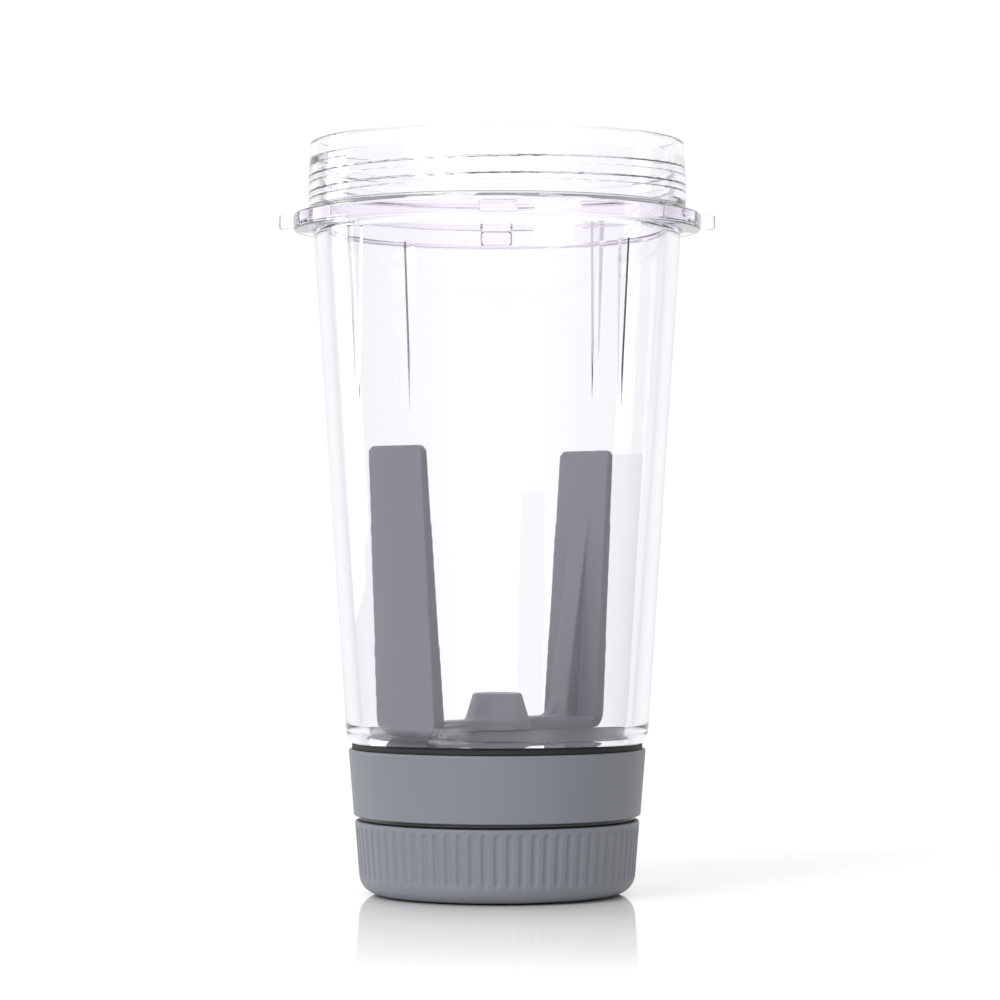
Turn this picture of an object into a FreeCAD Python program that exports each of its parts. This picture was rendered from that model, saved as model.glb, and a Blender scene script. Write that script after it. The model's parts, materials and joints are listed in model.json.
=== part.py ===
"""Blending cup with a twist paddle: a clear threaded cup, a two-vane scraper paddle and its twist base.

Frame: millimetres, +Z up the cup's axis, origin on the axis at the underside of the foot pad.
Azimuth is measured about +Z from -Y (the front) towards +X.
"""
import FreeCAD, Part
import math
import os
import re

import Sketcher

Vector = FreeCAD.Vector
Rotation = FreeCAD.Rotation
Placement = FreeCAD.Placement

# Driving dimensions, in millimetres and degrees, by sub-part.
SIZES = {
    # cup
    "cup_height": 180.0,
    "rim_bore": 42.9,
    "band_radius": 45.0,
    "band_bottom": 176.0,
    "neck_radius": 45.35,
    "neck_step": 172.4,
    "neck_bore": 42.8,
    "neck_shoulder": 164.6,
    "shoulder_bore": 41.3,
    "ring_radius": 48.9,
    "ring_bottom": 158.9,
    "ring_edge": 162.7,
    "ring_top": 164.0,
    "wall_top": 158.0,
    "wall_top_radius": 44.05,
    "wall_foot_radius": 36.0,
    "wall_corner": 2.0,
    "bore_top": 158.9,
    "bore_top_radius": 40.7,
    "bore_mid": 104.0,
    "bore_mid_radius": 37.25,
    "bore_foot_radius": 32.5,
    "bore_foot": 41.0,
    "bore_corner": 4.0,
    "floor_top": 36.9,
    "floor_under": 33.9,
    "plate_seat": 36.2,
    "plate_radius": 31.3,
    "heel_level": 35.6,
    "spigot_radius": 32.5,
    "spigot_bore": 30.6,
    "spigot_bottom": 29.0,
    "boss_radius": 9.0,
    "boss_bottom": 27.0,
    "seal_seat_radius": 7.5,
    "seal_seat_level": 34.4,
    "lug_reach": 52.2,
    "lug_width": 8.7,
    "lug_height": 3.8,
    "lug_count": 4,
    "thread_pitch": 3.85,
    "thread_turns": 2.7,
    "thread_start": 164.8,
    "thread_azimuth": -27.0,
    "thread_crest": 41.6,
    "thread_foot_half": 0.95,
    "thread_crest_half": 0.7,
    "rib_azimuth": 35.0,
    "rib_count": 4,
    "rib_thickness": 1.5,
    "rib_top": 159.3,
    "rib_bottom": 116.0,
    "rib_tip_radius": 37.8,
    "post_circle": 23.0,
    "post_radius": 3.4,
    "post_hole": 1.5,
    # collar and the parts seated in it
    "collar_top": 34.9,
    "collar_bottom": 19.0,
    "collar_top_radius": 35.6,
    "collar_bottom_radius": 34.33,
    "collar_bore": 33.75,
    "collar_lower_bore": 32.4,
    "collar_edge": 0.45,
    "web_bottom": 24.0,
    "web_top": 26.5,
    "web_hole": 11.0,
    "gasket_bottom": 31.0,
    "gasket_top": 35.55,
    "gasket_radius": 34.6,
    "housing_top": 29.0,
    "housing_radius": 32.3,
    "housing_foot": 22.0,
    "sleeve_radius": 10.0,
    "bush_radius": 6.0,
    "bush_flange_radius": 8.0,
    "bush_flange_thickness": 1.0,
    "glide_radius": 33.0,
    "glide_bore": 29.0,
    "glide_bottom": 18.0,
    "glide_top": 22.0,
    "glide_flange_top": 19.0,
    "screw_head_radius": 2.9,
    "screw_head_height": 2.0,
    "screw_end": 32.5,
    "cross_arm": 1.3,
    "cross_slot": 0.4,
    "cross_depth": 0.8,
    # drive shaft
    "shaft_radius": 3.75,
    "shaft_lower_radius": 3.0,
    "shaft_bottom": 6.0,
    "shaft_shoulder": 27.05,
    "shaft_step": 27.0,
    "shaft_top": 46.3,
    "shaft_fit": 0.05,
    "hex_bottom": 37.2,
    "hex_top": 43.8,
    "hex_half_flats": 3.1,
    "nose_radius": 2.6,
    "nose_groove_level": 45.2,
    "ring_cord_radius": 0.5,
    "shaft_flat": 2.2,
    "tap_radius": 1.55,
    "tap_top": 17.0,
    "washer_gap": 0.05,
    "washer_thickness": 0.55,
    "clip_thickness": 0.6,
    "clip_radius": 5.0,
    # knob and the parts in it
    "knob_top": 17.8,
    "knob_top_radius": 34.1,
    "knob_heel": 5.1,
    "knob_heel_radius": 33.06,
    "knob_bottom": 0.3,
    "knob_corner": 4.8,
    "knob_wall": 2.2,
    "knob_floor": 2.6,
    "flute_count": 72,
    "flute_radius": 0.8,
    "flute_sunk": 0.4,
    "flute_bottom": 4.9,
    "flute_length": 11.4,
    "knob_boss_radius": 7.0,
    "knob_boss_top": 19.2,
    "knob_boss_foot": 5.4,
    "cap_recess_radius": 15.0,
    "cap_level": 1.5,
    "deck_radius": 31.7,
    "deck_bottom": 15.8,
    "deck_top": 17.6,
    "deck_hole": 7.6,
    "deck_screw_circle": 20.0,
    "deck_post_radius": 3.2,
    "deck_screw_radius": 1.4,
    "deck_screw_head": 2.6,
    "deck_screw_count": 3,
    "deck_screw_end": 8.0,
    "foot_bore": 20.0,
    "foot_radius": 26.5,
    "foot_thickness": 1.2,
    "bolt_radius": 1.5,
    "bolt_head_radius": 4.0,
    "bolt_head_bottom": 2.4,
    "bolt_washer_bottom": 4.6,
    "bolt_washer_radius": 5.0,
    "bolt_end": 15.0,
    # paddle
    "paddle_azimuth": 137.0,
    "paddle_bottom": 37.6,
    "paddle_top": 106.9,
    "vane_foot_face": 29.95,
    "vane_top_face": 34.3,
    "vane_foot_thickness": 3.6,
    "vane_top_thickness": 2.2,
    "vane_foot_half_width": 8.95,
    "vane_top_half_width": 8.2,
    "vane_top_corner": 1.8,
    "vane_foot_corner": 5.5,
    "vane_foot_round": 2.8,
    "rail_top": 42.0,
    "rail_width": 5.8,
    "gusset_top": 92.0,
    "gusset_foot": 21.2,
    "gusset_blend": 5.0,
    "gusset_blend_rise": 4.0,
    "gusset_blend_radius": 4.0,
    "gusset_blend_width": 2.4,
    "flare_start": 13.0,
    "flare_reach": 8.0,
    "flare_height": 3.8,
    "hub_top": 48.1,
    "hub_top_radius": 5.8,
    "hub_foot_radius": 7.7,
    "insert_radius": 4.6,
    "insert_top": 46.9,
    "insert_bore_top": 46.5,
    "insert_bore": 3.15,
}

doc = FreeCAD.newDocument("blending_cup")
sheet = doc.addObject("Spreadsheet::Sheet", "Sizes")
for row, (alias, number) in enumerate(SIZES.items(), start=1):
    sheet.set(f"A{row}", alias)
    sheet.set(f"B{row}", str(number))
    sheet.setAlias(f"B{row}", alias)
doc.recompute()

PLANES = {"XY": "XY_Plane", "XZ": "XZ_Plane", "YZ": "YZ_Plane"}
WORD = re.compile(r"\b(?:" + "|".join(SIZES) + r")\b")
sub_parts = []
volumes = {}


def bound(expression):
    """The expression with each size's alias given as a reference to the sheet."""
    return WORD.sub(lambda match: "Sizes." + match.group(0), expression)


def number_of(expression):
    return float(sheet.evalExpression(bound(expression)))


def bind(thing, name, expression):
    thing.setExpression(name, bound(expression))


def origin_feature(body, role):
    return next(feature for feature in body.Origin.OriginFeatures if feature.Role == role)


def new_body(label):
    body = doc.addObject("PartDesign::Body", label)
    body.Label = label
    sub_parts.append(body)
    return body


def new_sketch(body, plane, level="0", turn="0"):
    """A sketch on one of the body's planes, moved along its normal and turned about its upright."""
    sketch = body.newObject("Sketcher::SketchObject", body.Label + "_sketch")
    sketch.AttachmentSupport = [(origin_feature(body, PLANES[plane]), "")]
    sketch.MapMode = "FlatFace"
    if level != "0":
        bind(sketch, "AttachmentOffset.Base.z", level)
    if turn != "0":
        sketch.AttachmentOffset = Placement(Vector(), Rotation(Vector(0, 1, 0), 1.0))
        bind(sketch, "AttachmentOffset.Rotation.Angle", turn)
    return sketch


def pin(sketch, geometry, position, across, up):
    """Holds a point of the sketch at two expressions."""
    for kind, expression in (("DistanceX", across), ("DistanceY", up)):
        value = number_of(expression)
        ends = (-1, 1, geometry, position) if value >= 0 else (geometry, position, -1, 1)
        index = sketch.addConstraint(Sketcher.Constraint(kind, *ends, abs(value)))
        signed = expression if value >= 0 else f"-({expression})"
        bind(sketch, f"Constraints[{index}]", signed)


def add_loop(sketch, corners):
    """A closed outline. Each corner is (across, up), or (across, up, radius) where it is rounded."""
    points = [Vector(number_of(corner[0]), number_of(corner[1]), 0) for corner in corners]
    count = len(corners)
    starts, ends, arcs = list(points), list(points), {}
    for i, corner in enumerate(corners):
        if len(corner) < 3:
            continue
        radius = number_of(corner[2])
        back = (points[i - 1] - points[i]).normalize()
        ahead = (points[(i + 1) % count] - points[i]).normalize()
        half = back.getAngle(ahead) / 2
        reach = radius / math.tan(half)
        ends[i] = points[i] + back * reach
        starts[i] = points[i] + ahead * reach
        middle = (back + ahead).normalize()
        centre = points[i] + middle * (ends[i] - points[i]).Length / middle.dot(back)
        bulge = centre - middle * radius
        arcs[i] = Part.ArcOfCircle(ends[i], bulge, starts[i])
    lines = [sketch.addGeometry(Part.LineSegment(starts[i], ends[(i + 1) % count])) for i in range(count)]
    for i, corner in enumerate(corners):
        before, after = lines[i - 1], lines[i]
        if i not in arcs:
            sketch.addConstraint(Sketcher.Constraint("Coincident", before, 2, after, 1))
            pin(sketch, after, 1, corner[0], corner[1])
            continue
        arc = sketch.addGeometry(arcs[i])
        first = sketch.getPoint(arc, 1)
        near, far = (1, 2) if first.distanceToPoint(ends[i]) < first.distanceToPoint(starts[i]) else (2, 1)
        sketch.addConstraint(Sketcher.Constraint("Tangent", before, 2, arc, near))
        sketch.addConstraint(Sketcher.Constraint("Tangent", arc, far, after, 1))
        index = sketch.addConstraint(Sketcher.Constraint("Radius", arc, number_of(corner[2])))
        bind(sketch, f"Constraints[{index}]", corner[2])
        corner_point = sketch.addGeometry(Part.Point(points[i]), True)
        pin(sketch, corner_point, 1, corner[0], corner[1])
        sketch.addConstraint(Sketcher.Constraint("PointOnObject", corner_point, 1, before))
        sketch.addConstraint(Sketcher.Constraint("PointOnObject", corner_point, 1, after))


def add_circle(sketch, across, up, radius):
    centre = Vector(number_of(across), number_of(up), 0)
    circle = sketch.addGeometry(Part.Circle(centre, Vector(0, 0, 1), number_of(radius)))
    index = sketch.addConstraint(Sketcher.Constraint("Radius", circle, number_of(radius)))
    bind(sketch, f"Constraints[{index}]", radius)
    pin(sketch, circle, 3, across, up)


def finish_feature(body, feature, sign):
    """Makes the feature the tip, and checks that it adds (+1) or removes (-1) material."""
    before = volumes.get(body.Label, 0.0)
    doc.recompute()
    body.Tip = feature
    after = feature.Shape.Volume
    volumes[body.Label] = after
    if (after - before) * sign <= 0:
        raise RuntimeError(f"{body.Label}: {feature.Name} changed nothing ({before:.2f} to {after:.2f})")
    return feature


def turned(body, loops, cut=False):
    """A solid or a groove of revolution about the body's upright."""
    sketch = new_sketch(body, "XZ")
    for loop in loops:
        add_loop(sketch, loop)
    kind = "PartDesign::Groove" if cut else "PartDesign::Revolution"
    feature = body.newObject(kind, body.Label + ("_groove" if cut else "_turned"))
    feature.Profile = sketch
    feature.ReferenceAxis = (sketch, ["V_Axis"])
    feature.Angle = 360
    return finish_feature(body, feature, -1 if cut else 1)


def extruded(body, sketch, length, cut=False, midplane=False, backwards=False):
    """A pad or a pocket of the sketch, along its normal or both ways from it."""
    kind = "PartDesign::Pocket" if cut else "PartDesign::Pad"
    feature = body.newObject(kind, body.Label + ("_pocket" if cut else "_pad"))
    feature.Profile = sketch
    feature.Midplane = midplane
    feature.Reversed = backwards
    bind(feature, "Length", length)
    return finish_feature(body, feature, -1 if cut else 1)


def repeated(body, features, count, sign=1):
    """Repeats the features round the body's upright."""
    pattern = body.newObject("PartDesign::PolarPattern", body.Label + "_pattern")
    pattern.Originals = features
    pattern.Axis = (origin_feature(body, "Z_Axis"), [""])
    pattern.Angle = 360
    bind(pattern, "Occurrences", count)
    return finish_feature(body, pattern, sign)


def plain_ring(label, bore, radius, bottom, top):
    """A body that is one plain ring or disc."""
    body = new_body(label)
    turned(body, [[(bore, bottom), (radius, bottom), (radius, top), (bore, top)]])
    return body


def cup_body():
    body = new_body("cup_body")
    turned(body, [[
        ("spigot_bore", "spigot_bottom"),
        ("spigot_radius", "spigot_bottom"),
        ("spigot_radius", "heel_level"),
        ("wall_foot_radius", "heel_level", "wall_corner"),
        ("wall_top_radius", "wall_top"),
        ("wall_top_radius + 0.9", "ring_bottom", "0.8"),
        ("ring_radius", "ring_bottom", "0.5"),
        ("ring_radius", "ring_edge", "0.6"),
        ("neck_radius", "ring_top"),
        ("neck_radius", "neck_step"),
        ("band_radius", "band_bottom"),
        ("band_radius", "cup_height", "0.6"),
        ("rim_bore", "cup_height", "0.6"),
        ("neck_bore", "band_bottom"),
        ("neck_bore", "neck_shoulder"),
        ("shoulder_bore", "neck_shoulder - 0.6"),
        ("bore_top_radius", "bore_top"),
        ("bore_mid_radius", "bore_mid"),
        ("bore_foot_radius", "bore_foot", "bore_corner"),
        ("plate_radius + 0.1", "floor_top"),
        ("plate_radius + 0.1", "plate_seat"),
        ("spigot_bore", "plate_seat"),
    ]])
    lug = new_sketch(body, "XY", level="ring_bottom")
    add_loop(lug, [
        ("ring_radius - 3", "-lug_width / 2"),
        ("lug_reach", "-lug_width / 2", "0.8"),
        ("lug_reach", "lug_width / 2", "0.8"),
        ("ring_radius - 3", "lug_width / 2"),
    ])
    repeated(body, [extruded(body, lug, "lug_height")], "lug_count")
    rib = new_sketch(body, "XZ", turn="rib_azimuth")
    add_loop(rib, [
        ("bore_top_radius + 0.8", "rib_top"),
        ("rib_tip_radius", "rib_top", "0.6"),
        ("rib_tip_radius + 0.25", "rib_bottom"),
        ("rib_tip_radius + 1.3", "rib_bottom"),
    ])
    repeated(body, [extruded(body, rib, "rib_thickness", midplane=True)], "rib_count")
    thread = new_sketch(body, "XZ", turn="thread_azimuth")
    add_loop(thread, [
        ("neck_bore + 0.3", "thread_start - thread_foot_half"),
        ("thread_crest", "thread_start - thread_crest_half"),
        ("thread_crest", "thread_start + thread_crest_half"),
        ("neck_bore + 0.3", "thread_start + thread_foot_half"),
    ])
    helix = body.newObject("PartDesign::AdditiveHelix", "cup_thread")
    helix.Profile = thread
    helix.ReferenceAxis = (thread, ["V_Axis"])
    helix.Mode = "pitch-turns-angle"
    bind(helix, "Pitch", "thread_pitch")
    bind(helix, "Turns", "thread_turns")
    finish_feature(body, helix, 1)
    return body


def floor_plate():
    """The cup's floor: it drops in from the mouth and the collar screws pull it down onto the wall's lip."""
    body = new_body("floor_plate")
    turned(body, [[
        ("bush_radius", "boss_bottom"),
        ("boss_radius", "boss_bottom"),
        ("boss_radius", "floor_under"),
        ("spigot_bore - 0.05", "floor_under"),
        ("spigot_bore - 0.05", "plate_seat"),
        ("plate_radius", "plate_seat"),
        ("plate_radius", "floor_top", "0.3"),
        ("seal_seat_radius", "floor_top"),
        ("seal_seat_radius", "seal_seat_level"),
        ("bush_radius", "seal_seat_level"),
    ]])
    post = new_sketch(body, "XY", level="spigot_bottom")
    add_circle(post, "post_circle", "0", "post_radius")
    add_circle(post, "post_circle", "0", "post_hole")
    repeated(body, [extruded(body, post, "floor_under - spigot_bottom")], "lug_count")
    return body


def collar():
    body = new_body("collar")
    turned(body, [[
        ("collar_bottom_radius", "collar_bottom", "collar_edge"),
        ("collar_top_radius", "collar_top", "collar_edge"),
        ("collar_bore", "collar_top", "collar_edge"),
        ("collar_bore", "housing_top"),
        ("housing_radius", "housing_top"),
        ("housing_radius", "web_top"),
        ("web_hole", "web_top"),
        ("web_hole", "web_bottom"),
        ("collar_lower_bore", "web_bottom"),
        ("collar_lower_bore", "collar_bottom"),
    ]])
    holes = new_sketch(body, "XY", level="web_bottom")
    add_circle(holes, "post_circle", "0", "post_hole + 0.1")
    hole = extruded(body, holes, "web_top - web_bottom", cut=True, backwards=True)
    repeated(body, [hole], "lug_count", sign=-1)
    return body


def collar_gasket():
    """The face seal: a flange between the collar's rim and the cup's heel, with a skirt inside the collar."""
    body = new_body("collar_gasket")
    turned(body, [[
        ("spigot_radius", "gasket_bottom"),
        ("collar_bore - 0.05", "gasket_bottom"),
        ("collar_bore - 0.05", "collar_top + 0.05"),
        ("gasket_radius", "collar_top + 0.05"),
        ("gasket_radius", "gasket_top"),
        ("spigot_radius", "gasket_top"),
    ]])
    return body


def bearing_housing():
    body = new_body("bearing_housing")
    turned(body, [[
        ("bush_radius", "housing_foot"),
        ("sleeve_radius", "housing_foot", "0.5"),
        ("sleeve_radius", "web_top"),
        ("housing_radius", "web_top"),
        ("housing_radius", "housing_top"),
        ("boss_radius", "housing_top"),
        ("boss_radius", "boss_bottom"),
        ("bush_radius", "boss_bottom"),
    ]])
    holes = new_sketch(body, "XY", level="web_top")
    add_circle(holes, "post_circle", "0", "post_hole + 0.1")
    hole = extruded(body, holes, "housing_top - web_top", cut=True, backwards=True)
    repeated(body, [hole], "lug_count", sign=-1)
    return body


def shaft_bush():
    body = new_body("shaft_bush")
    foot = "housing_foot - bush_flange_thickness"
    turned(body, [[
        ("shaft_lower_radius + shaft_fit", foot),
        ("bush_flange_radius", foot),
        ("bush_flange_radius", "housing_foot"),
        ("bush_radius", "housing_foot"),
        ("bush_radius", "seal_seat_level - 0.1"),
        ("shaft_radius + shaft_fit", "seal_seat_level - 0.1"),
        ("shaft_radius + shaft_fit", "shaft_step"),
        ("shaft_lower_radius + shaft_fit", "shaft_step"),
    ]])
    return body


def shaft_seal():
    body = new_body("shaft_seal")
    turned(body, [[
        ("shaft_radius + 0.04", "seal_seat_level"),
        ("seal_seat_radius", "seal_seat_level"),
        ("seal_seat_radius", "floor_top - 0.2"),
        ("shaft_radius + 1.6", "floor_top - 0.2"),
        ("shaft_radius + 0.7", "floor_top + 0.25"),
        ("shaft_radius + 0.04", "floor_top + 0.25"),
    ]])
    return body


def glide_ring():
    body = new_body("glide_ring")
    turned(body, [[
        ("glide_bore", "glide_bottom"),
        ("glide_radius", "glide_bottom", "0.3"),
        ("glide_radius", "glide_flange_top"),
        ("collar_lower_bore", "glide_flange_top"),
        ("collar_lower_bore", "glide_top"),
        ("glide_bore", "glide_top"),
    ]])
    return body


def upright_screw(label, circle, head_radius, head_bottom, head_top, shank_radius, shank_end):
    """A cross-head screw on a circle about the axis; its shank goes up or down to shank_end."""
    body = new_body(label)
    up = number_of(shank_end) > number_of(head_top)
    foot, face = (head_bottom, head_top) if up else (head_top, head_bottom)
    sketch = new_sketch(body, "XY", level=foot)
    add_circle(sketch, circle, "0", head_radius)
    extruded(body, sketch, f"abs({head_top} - ({head_bottom}))", backwards=not up)
    sketch = new_sketch(body, "XY", level=face)
    add_circle(sketch, circle, "0", shank_radius)
    extruded(body, sketch, f"abs({shank_end} - ({face}))", backwards=not up)
    sketch = new_sketch(body, "XY", level=foot)
    arm, slot = "cross_arm", "cross_slot"
    cross = [(arm, slot), (slot, slot), (slot, arm), ("-" + slot, arm), ("-" + slot, slot), ("-" + arm, slot)]
    cross += [("-" + arm, "-" + slot), ("-" + slot, "-" + slot), ("-" + slot, "-" + arm)]
    cross += [(slot, "-" + arm), (slot, "-" + slot), (arm, "-" + slot)]
    add_loop(sketch, [(f"{circle} + ({across})", aside) for across, aside in cross])
    extruded(body, sketch, "cross_depth", cut=True, backwards=up)
    return body


def screw_group(label, screw, count):
    """Copies of one upright screw round the axis, as one node of separate solids."""
    group = doc.addObject("Part::Feature", label)
    doc.recompute()
    number = round(number_of(count))
    step = 360.0 / number
    copies = []
    for i in range(number):
        copy = screw.Shape.copy()
        copy.rotate(Vector(), Vector(0, 0, 1), i * step)
        copies.append(copy)
    group.Shape = Part.makeCompound(copies)
    group.Label = label
    sub_parts.remove(screw)
    sub_parts.append(group)
    return group


def drive_shaft():
    body = new_body("drive_shaft")
    clip_top = "housing_foot - bush_flange_thickness - washer_gap - washer_thickness"
    turned(body, [[
        ("tap_radius", "shaft_bottom"),
        ("shaft_lower_radius", "shaft_bottom", "0.4"),
        ("shaft_lower_radius", clip_top + " - clip_thickness"),
        ("shaft_lower_radius - 0.4", clip_top + " - clip_thickness"),
        ("shaft_lower_radius - 0.4", clip_top),
        ("shaft_lower_radius", clip_top),
        ("shaft_lower_radius", "shaft_shoulder"),
        ("shaft_radius", "shaft_shoulder"),
        ("shaft_radius", "hex_top"),
        ("nose_radius", "hex_top"),
        ("nose_radius", "nose_groove_level - ring_cord_radius"),
        ("nose_radius - 0.5", "nose_groove_level - ring_cord_radius"),
        ("nose_radius - 0.5", "nose_groove_level + ring_cord_radius"),
        ("nose_radius", "nose_groove_level + ring_cord_radius"),
        ("nose_radius", "shaft_top", "0.3"),
        ("0", "shaft_top"),
        ("0", "tap_top"),
        ("tap_radius", "tap_top"),
    ]])
    flats = new_sketch(body, "XY", level="hex_bottom")
    reach = "hex_half_flats * 1.154701"
    hexagon = [
        (reach, "0"),
        (reach + " / 2", "hex_half_flats"),
        (f"-{reach} / 2", "hex_half_flats"),
        (f"-{reach}", "0"),
        (f"-{reach} / 2", "-hex_half_flats"),
        (reach + " / 2", "-hex_half_flats"),
    ]
    add_loop(flats, hexagon)
    add_circle(flats, "0", "0", "shaft_radius + 1")
    extruded(body, flats, "hex_top - hex_bottom", cut=True, backwards=True)
    flat = new_sketch(body, "XY", level="shaft_bottom")
    add_loop(flat, [("shaft_flat", "-4"), ("5", "-4"), ("5", "4"), ("shaft_flat", "4")])
    extruded(body, flat, "knob_boss_top - shaft_bottom - 0.5", cut=True, backwards=True)
    return body


def nose_ring():
    """The O-ring on the shaft's nose, which holds the paddle on by friction."""
    ring = doc.addObject("Part::Torus", "retaining_ring")
    bind(ring, "Radius1", "nose_radius - 0.5 + ring_cord_radius")
    bind(ring, "Radius2", "ring_cord_radius")
    bind(ring, "Placement.Base.z", "nose_groove_level")
    ring.Label = "retaining_ring"
    sub_parts.append(ring)
    return ring


def shaft_circlip():
    body = new_body("shaft_circlip")
    top = "housing_foot - bush_flange_thickness - washer_gap - washer_thickness"
    turned(body, [[
        ("shaft_lower_radius - 0.4", top + " - clip_thickness"),
        ("clip_radius", top + " - clip_thickness"),
        ("clip_radius", top),
        ("shaft_lower_radius - 0.4", top),
    ]])
    gap = new_sketch(body, "XY", level=top)
    add_loop(gap, [("0", "-1.1"), ("clip_radius + 1", "-1.1"), ("clip_radius + 1", "1.1"), ("0", "1.1")])
    extruded(body, gap, "clip_thickness", cut=True)
    return body


def knob():
    body = new_body("knob")
    turned(body, [[
        ("cap_recess_radius", "knob_bottom"),
        ("foot_bore - 0.1", "knob_bottom"),
        ("foot_bore - 0.1", "foot_thickness"),
        ("foot_radius + 0.1", "foot_thickness"),
        ("foot_radius + 0.1", "knob_bottom"),
        ("knob_heel_radius - 0.35", "knob_bottom", "knob_corner"),
        ("knob_top_radius", "knob_top", "0.45"),
        ("deck_radius", "knob_top"),
        ("deck_radius", "deck_bottom"),
        ("deck_radius - 1", "deck_bottom"),
        ("deck_radius - 1", "knob_floor", "2.5"),
        ("cap_recess_radius + 1", "knob_floor + 2"),
        ("cap_recess_radius - 2", "knob_boss_foot + 2"),
        ("knob_boss_radius", "knob_boss_foot + 2"),
        ("knob_boss_radius", "knob_boss_top"),
        ("shaft_lower_radius", "knob_boss_top"),
        ("shaft_lower_radius", "shaft_bottom"),
        ("bolt_radius + 0.2", "shaft_bottom"),
        ("bolt_radius + 0.2", "knob_boss_foot"),
        ("cap_recess_radius - 4", "knob_boss_foot"),
        ("cap_recess_radius - 4", "cap_level + 0.9"),
        ("cap_recess_radius", "cap_level + 0.9"),
    ]])
    key = new_sketch(body, "XY", level="shaft_bottom")
    add_loop(key, [
        ("shaft_flat", "-2.4"),
        ("shaft_lower_radius + 1", "-2.4"),
        ("shaft_lower_radius + 1", "2.4"),
        ("shaft_flat", "2.4"),
    ])
    extruded(body, key, "knob_boss_top - shaft_bottom - 0.5")
    post = new_sketch(body, "XY", level="knob_floor - 0.5")
    add_circle(post, "deck_screw_circle", "0", "deck_post_radius")
    column = extruded(body, post, "deck_bottom - knob_floor + 0.5")
    hole = new_sketch(body, "XY", level="deck_screw_end - 1")
    add_circle(hole, "deck_screw_circle", "0", "deck_screw_radius")
    bore = extruded(body, hole, "deck_bottom - deck_screw_end + 1", cut=True, backwards=True)
    repeated(body, [column, bore], "deck_screw_count")
    flute = body.newObject("PartDesign::SubtractiveCylinder", "knob_flute")
    flute.AttachmentSupport = [(origin_feature(body, "XY_Plane"), "")]
    flute.MapMode = "FlatFace"
    flute.AttachmentOffset = Placement(Vector(), Rotation(Vector(0, 1, 0), 1.0))
    lean = "atan((knob_top_radius - knob_heel_radius) / (knob_top - knob_heel))"
    foot_radius = "knob_heel_radius + flute_radius - flute_sunk"
    bind(flute, "AttachmentOffset.Rotation.Angle", lean)
    bind(flute, "AttachmentOffset.Base.x", foot_radius)
    bind(flute, "AttachmentOffset.Base.z", "flute_bottom")
    bind(flute, "Radius", "flute_radius")
    bind(flute, "Height", "flute_length")
    finish_feature(body, flute, -1)
    repeated(body, [flute], "flute_count", sign=-1)
    return body


def knob_deck():
    body = plain_ring("knob_deck", "deck_hole", "deck_radius - 0.05", "deck_bottom", "deck_top")
    hole = new_sketch(body, "XY", level="deck_bottom")
    add_circle(hole, "deck_screw_circle", "0", "deck_screw_radius + 0.2")
    through = extruded(body, hole, "deck_top - deck_bottom", cut=True, backwards=True)
    sink = new_sketch(body, "XY", level="deck_top")
    add_circle(sink, "deck_screw_circle", "0", "deck_screw_head + 0.1")
    counterbore = extruded(body, sink, "1.2", cut=True)
    repeated(body, [through, counterbore], "deck_screw_count", sign=-1)
    return body


def base_cap():
    body = new_body("base_cap")
    turned(body, [[
        ("0", "cap_level - 0.3"),
        ("cap_recess_radius - 0.1", "cap_level - 0.3", "0.3"),
        ("cap_recess_radius - 0.1", "cap_level + 0.9"),
        ("0", "cap_level + 0.9"),
    ]])
    return body


def knob_screw():
    body = new_body("knob_screw")
    turned(body, [[
        ("0", "bolt_head_bottom"),
        ("bolt_head_radius", "bolt_head_bottom", "0.5"),
        ("bolt_head_radius", "bolt_washer_bottom"),
        ("bolt_radius", "bolt_washer_bottom"),
        ("bolt_radius", "bolt_end", "0.3"),
        ("0", "bolt_end"),
    ]])
    return body


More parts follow.
